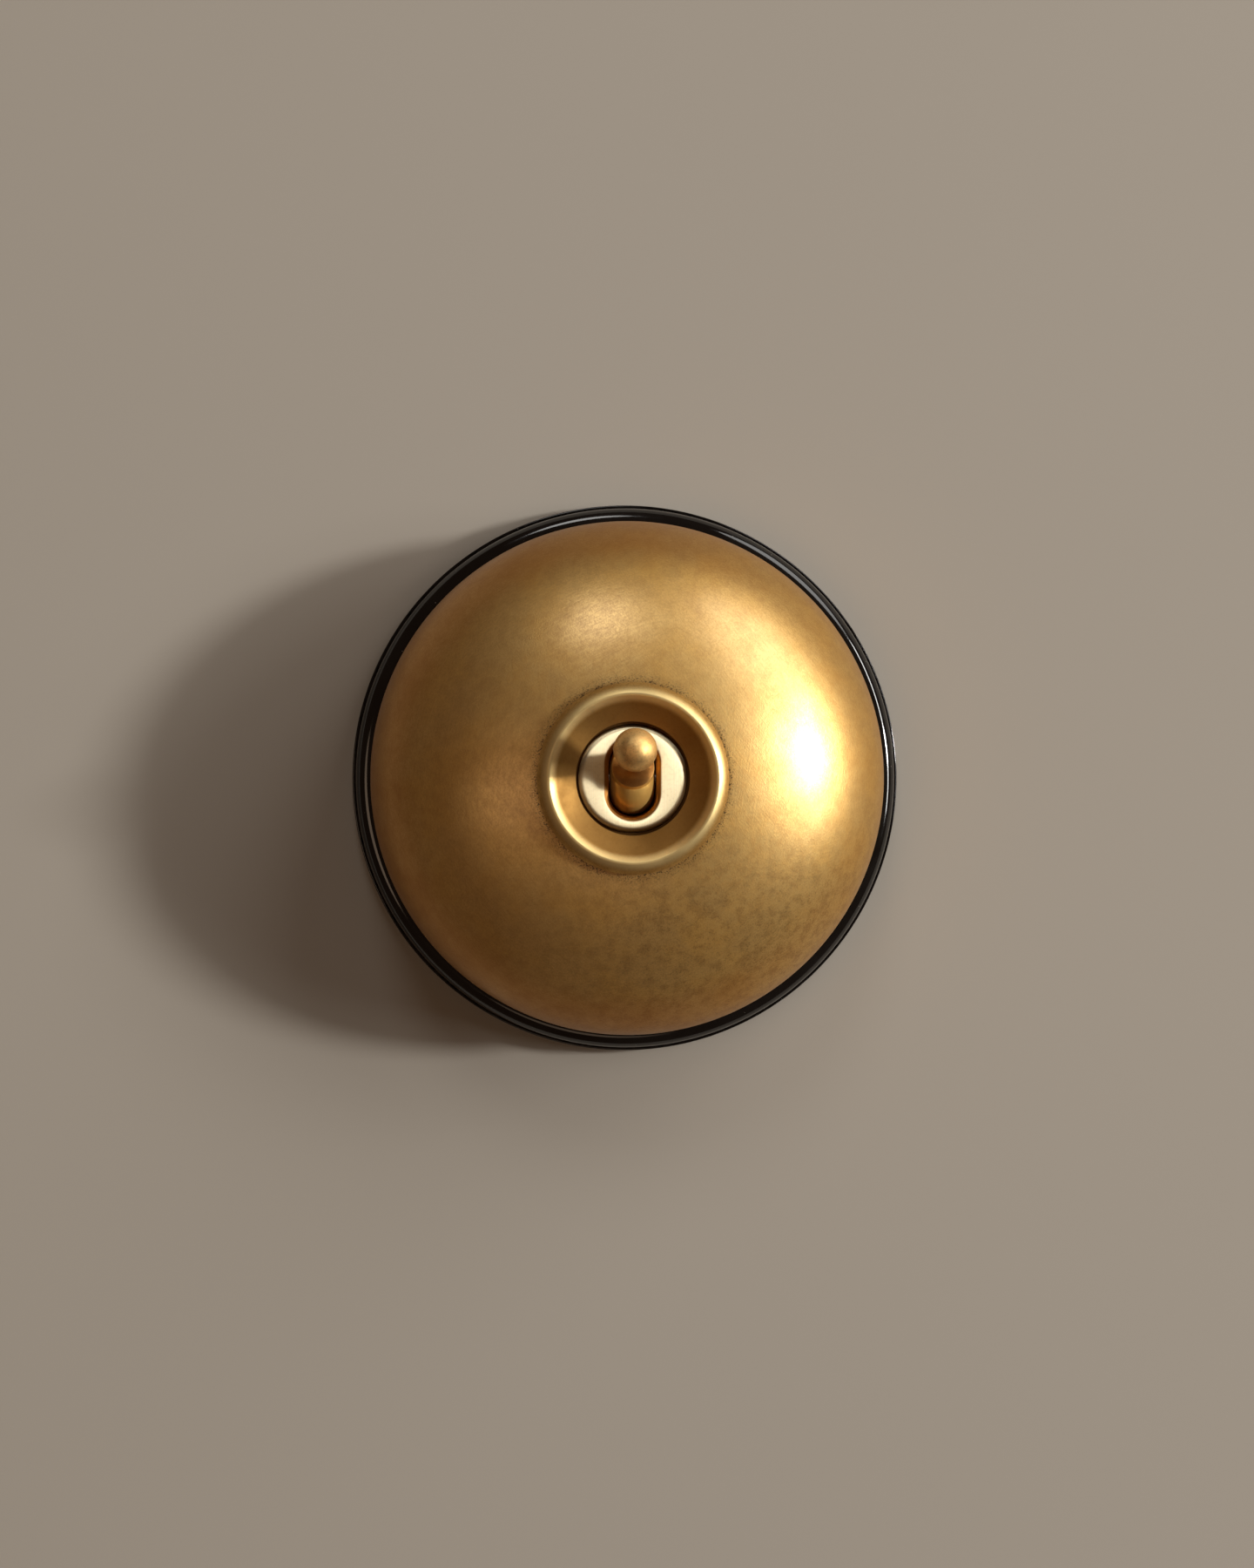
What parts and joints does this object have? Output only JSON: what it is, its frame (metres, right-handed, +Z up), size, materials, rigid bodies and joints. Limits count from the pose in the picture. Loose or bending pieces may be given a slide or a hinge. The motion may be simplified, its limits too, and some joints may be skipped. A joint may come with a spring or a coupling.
{
  "type": "dolly light switch",
  "caption": "Round surface light switch: black moulded base, domed aged brass cover, dished brass collar and a tipping brass dolly that works a sprung rocker inside.",
  "frame": {"origin": "on the switch's axis, in the plane of its back face, midway between the wall fixing holes", "axes": "+Y into the wall, +Z up, +X to the right as seen from the room; the switch stands out towards -Y"},
  "size_m": [0.086, 0.0456, 0.086],
  "materials": {
    "black_moulding": "gloss black moulding",
    "aged_brass": "aged, hand rubbed",
    "turned_brass": "aged satin, turned",
    "pale_brass": "bright brushed",
    "dolly_brass": "aged, worn by fingers",
    "plain_brass": "plain machined",
    "steel": "zinc plated",
    "silver": "silver contact",
    "phenolic": "brown moulding",
    "fibre": "red-brown fibre sheet",
    "nylon": "off-white moulding"
  },
  "bodies": {
    "housing": {"base": "black_moulding", "cover": "aged_brass", "collar": "turned_brass", "neck": "pale_brass", "bridge": "plain_brass", "bridge_screws": "steel", "insulator": "fibre", "switch_body": "phenolic", "body_screws": "steel", "common_terminal": "plain_brass", "upper_terminal": "plain_brass", "lower_terminal": "plain_brass", "terminal_screws": "steel", "fixed_contacts": "silver", "earth_terminal": "plain_brass", "earth_screw": "steel", "dolly_pin": "steel", "rocker_pin": "steel"},
    "dolly_lever": {"dolly": "dolly_brass", "plunger_spring": "steel"},
    "plunger": {"plunger": "nylon"},
    "rocker": {"rocker": "plain_brass", "rocker_contacts": "silver"}
  },
  "joints": [
    {"name": "dolly_swing", "type": "hinge", "parent": "housing", "child": "dolly_lever", "pos_m": [0, -0.02909, 0], "axis": [1, 0, 0], "range_deg": [0, 36]},
    {"name": "rocker_tilt", "type": "hinge", "parent": "housing", "child": "rocker", "pos_m": [0, -0.01209, 0], "axis": [1, 0, 0], "range_deg": [-16, 0]},
    {"name": "plunger_slide", "type": "slide", "parent": "dolly_lever", "child": "plunger", "axis": [0, -0.9511, 0.309], "range_m": [0, 0.0012], "stiffness_N_per_m": 300, "springref_m": -0.004, "deforming": ["plunger_spring"]}
  ],
  "couplings": [
    {"joint": "rocker_tilt", "follows": "dolly_swing", "ratio": -0.44444}
  ]
}
